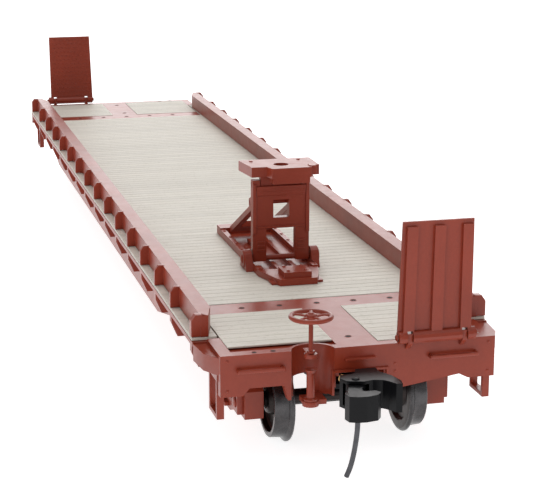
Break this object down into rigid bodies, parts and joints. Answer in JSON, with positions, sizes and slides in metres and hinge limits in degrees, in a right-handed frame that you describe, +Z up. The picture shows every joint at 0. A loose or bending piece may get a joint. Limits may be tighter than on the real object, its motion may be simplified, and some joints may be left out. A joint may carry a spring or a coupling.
{
  "type": "model railway flat car",
  "caption": "Scale model piggyback flat car with a planked deck, side rails, folding trailer hitch, drop bridge plates, knuckle couplers and swivelling four-wheel trucks.",
  "frame": {"origin": "under the middle of the car, level with the bottoms of the wheel flanges", "axes": "+X along the car towards the hand-brake end, +Y to its right-hand side, +Z up"},
  "size_m": [0.2084, 0.038, 0.0289],
  "materials": {
    "body_paint": "semi-gloss oxide red paint on moulded plastic",
    "deck_wood": "flat weathered grey-beige board colour",
    "wheel_metal": "chemically blackened, treads polished",
    "coupler_black": "satin",
    "steel": "plain steel",
    "brass": "bright"
  },
  "bodies": {
    "car": {"car_body": "body_paint", "deck_boards": "deck_wood", "ballast_weight": "steel", "side_rail_left": "body_paint", "side_rail_right": "body_paint", "brake_staff_bracket": "body_paint", "brake_cylinder": "body_paint", "air_reservoir": "body_paint", "control_valve": "body_paint", "brake_rod": "body_paint", "hitch_base": "body_paint", "end_deck_b_left": "deck_wood", "sill_step_b_left": "body_paint", "grab_iron_b_left": "body_paint", "end_deck_b_right": "deck_wood", "sill_step_b_right": "body_paint", "grab_iron_b_right": "body_paint", "coupler_box_lid_b": "coupler_black", "coupler_box_screw_b": "steel", "bridge_plate_hinge_b": "body_paint", "truck_screw_b": "steel", "end_deck_a_left": "deck_wood", "sill_step_a_left": "body_paint", "grab_iron_a_left": "body_paint", "end_deck_a_right": "deck_wood", "sill_step_a_right": "body_paint", "grab_iron_a_right": "body_paint", "coupler_box_lid_a": "coupler_black", "coupler_box_screw_a": "steel", "bridge_plate_hinge_a": "body_paint", "truck_screw_a": "steel"},
    "hand_brake": {"brake_wheel": "body_paint", "brake_staff": "body_paint"},
    "hitch_strut": {"hitch_strut": "body_paint"},
    "hitch_head": {"hitch_head": "body_paint"},
    "hitch_brace": {"hitch_brace": "body_paint"},
    "bridge_plate_b": {"bridge_plate_b": "body_paint"},
    "truck_b": {"truck_frame_b": "body_paint"},
    "coupler_b": {"coupler_head_b": "coupler_black", "knuckle_spring_b": "brass"},
    "knuckle_b": {"coupler_knuckle_b": "coupler_black", "trip_pin_b": "steel"},
    "wheelset_b_outer": {"axle_b_outer": "wheel_metal", "wheel_b_outer_left": "wheel_metal", "wheel_b_outer_right": "wheel_metal"},
    "wheelset_b_inner": {"axle_b_inner": "wheel_metal", "wheel_b_inner_left": "wheel_metal", "wheel_b_inner_right": "wheel_metal"},
    "bridge_plate_a": {"bridge_plate_a": "body_paint"},
    "truck_a": {"truck_frame_a": "body_paint"},
    "coupler_a": {"coupler_head_a": "coupler_black", "knuckle_spring_a": "brass"},
    "knuckle_a": {"coupler_knuckle_a": "coupler_black", "trip_pin_a": "steel"},
    "wheelset_a_outer": {"axle_a_outer": "wheel_metal", "wheel_a_outer_left": "wheel_metal", "wheel_a_outer_right": "wheel_metal"},
    "wheelset_a_inner": {"axle_a_inner": "wheel_metal", "wheel_a_inner_left": "wheel_metal", "wheel_a_inner_right": "wheel_metal"}
  },
  "joints": [
    {"name": "hand_brake_turn", "type": "hinge", "parent": "car", "child": "hand_brake", "pos_m": [0.0945, -0.0064, 0.0183], "axis": [0, 0, 1], "continuous": true},
    {"name": "hitch_fold", "type": "hinge", "parent": "car", "child": "hitch_strut", "pos_m": [0.0555, 0, 0.0154], "axis": [0, 1, 0], "range_deg": [0, 80]},
    {"name": "hitch_head_level", "type": "hinge", "parent": "hitch_strut", "child": "hitch_head", "pos_m": [0.0555, 0, 0.0259], "axis": [0, 1, 0], "range_deg": [-80, 0]},
    {"name": "hitch_brace_swing", "type": "hinge", "parent": "hitch_strut", "child": "hitch_brace", "pos_m": [0.0543, 0, 0.0231], "axis": [0, 1, 0], "range_deg": [-62.3, 0]},
    {"name": "bridge_plate_b_drop", "type": "hinge", "parent": "car", "child": "bridge_plate_b", "pos_m": [0.0942, 0.00935, 0.01475], "axis": [0, 1, 0], "range_deg": [0, 90]},
    {"name": "truck_b_swivel", "type": "hinge", "parent": "car", "child": "truck_b", "pos_m": [0.0763, 0, 0.0075], "axis": [0, 0, 1], "range_deg": [-7, 7]},
    {"name": "coupler_b_swing", "type": "hinge", "parent": "car", "child": "coupler_b", "pos_m": [0.0875, 0, 0.01], "axis": [0, 0, 1], "range_deg": [-12, 12]},
    {"name": "knuckle_b_open", "type": "hinge", "parent": "coupler_b", "child": "knuckle_b", "pos_m": [0.0992, -0.0023, 0.01], "axis": [0, 0, 1], "range_deg": [-28, 0], "stiffness_Nm_per_rad": 0.00002, "springref_deg": 2.86},
    {"name": "wheelset_b_outer_roll", "type": "hinge", "parent": "truck_b", "child": "wheelset_b_outer", "pos_m": [0.08595, 0, 0.00545], "axis": [0, 1, 0], "continuous": true},
    {"name": "wheelset_b_inner_roll", "type": "hinge", "parent": "truck_b", "child": "wheelset_b_inner", "pos_m": [0.06665, 0, 0.00545], "axis": [0, 1, 0], "continuous": true},
    {"name": "bridge_plate_a_drop", "type": "hinge", "parent": "car", "child": "bridge_plate_a", "pos_m": [-0.0942, -0.00935, 0.01475], "axis": [0, -1, 0], "range_deg": [0, 90]},
    {"name": "truck_a_swivel", "type": "hinge", "parent": "car", "child": "truck_a", "pos_m": [-0.0763, 0, 0.0075], "axis": [0, 0, 1], "range_deg": [-7, 7]},
    {"name": "coupler_a_swing", "type": "hinge", "parent": "car", "child": "coupler_a", "pos_m": [-0.0875, 0, 0.01], "axis": [0, 0, 1], "range_deg": [-12, 12]},
    {"name": "knuckle_a_open", "type": "hinge", "parent": "coupler_a", "child": "knuckle_a", "pos_m": [-0.0992, 0.0023, 0.01], "axis": [0, 0, 1], "range_deg": [-28, 0], "stiffness_Nm_per_rad": 0.00002, "springref_deg": 2.86},
    {"name": "wheelset_a_outer_roll", "type": "hinge", "parent": "truck_a", "child": "wheelset_a_outer", "pos_m": [-0.08595, 0, 0.00545], "axis": [0, 1, 0], "continuous": true},
    {"name": "wheelset_a_inner_roll", "type": "hinge", "parent": "truck_a", "child": "wheelset_a_inner", "pos_m": [-0.06665, 0, 0.00545], "axis": [0, 1, 0], "continuous": true}
  ],
  "couplings": [
    {"joint": "hitch_head_level", "follows": "hitch_fold", "ratio": -1},
    {"joint": "hitch_brace_swing", "follows": "hitch_fold", "ratio": -0.77636}
  ]
}
